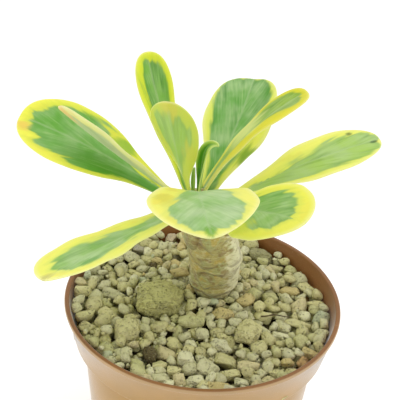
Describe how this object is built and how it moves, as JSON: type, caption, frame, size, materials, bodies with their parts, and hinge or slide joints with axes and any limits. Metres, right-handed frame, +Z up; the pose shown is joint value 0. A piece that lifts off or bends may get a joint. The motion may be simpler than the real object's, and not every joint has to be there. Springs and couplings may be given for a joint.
{
  "type": "potted euphorbia",
  "caption": "Potted succulent with broad yellow-edged leaves on a short swollen scaly trunk, in a round terracotta-coloured plastic pot filled with pumice gravel.",
  "frame": {"origin": "centre of the pot's underside, on the surface that it stands on", "axes": "+Z up; seen from -Y, which is the front, the widest leaf points left (-X) and the trunk stands a little behind the pot's axis (+Y)"},
  "size_m": [0.1103, 0.0865, 0.1387],
  "materials": {
    "terracotta_plastic": "satin",
    "pumice": "matte",
    "lava": "matte",
    "bark": "satin",
    "variegated_leaf": "satin",
    "young_leaf": "satin"
  },
  "bodies": {
    "root": {"pot": "terracotta_plastic", "pumice_bed": "pumice", "stone_flat": "pumice", "stone_blocky": "pumice", "stone_right": "pumice", "stone_dark_back": "lava", "stone_dark_front": "lava", "trunk": "bark", "leaf_left_broad": "variegated_leaf", "leaf_left_slim": "variegated_leaf", "leaf_top": "variegated_leaf", "leaf_upright": "variegated_leaf", "leaf_rear_broad": "variegated_leaf", "leaf_right_upright": "variegated_leaf", "leaf_right": "variegated_leaf", "leaf_right_front": "variegated_leaf", "leaf_front": "variegated_leaf", "leaf_front_left": "variegated_leaf", "leaf_young_curled": "young_leaf", "leaf_bud": "young_leaf"}
  },
  "joints": []
}
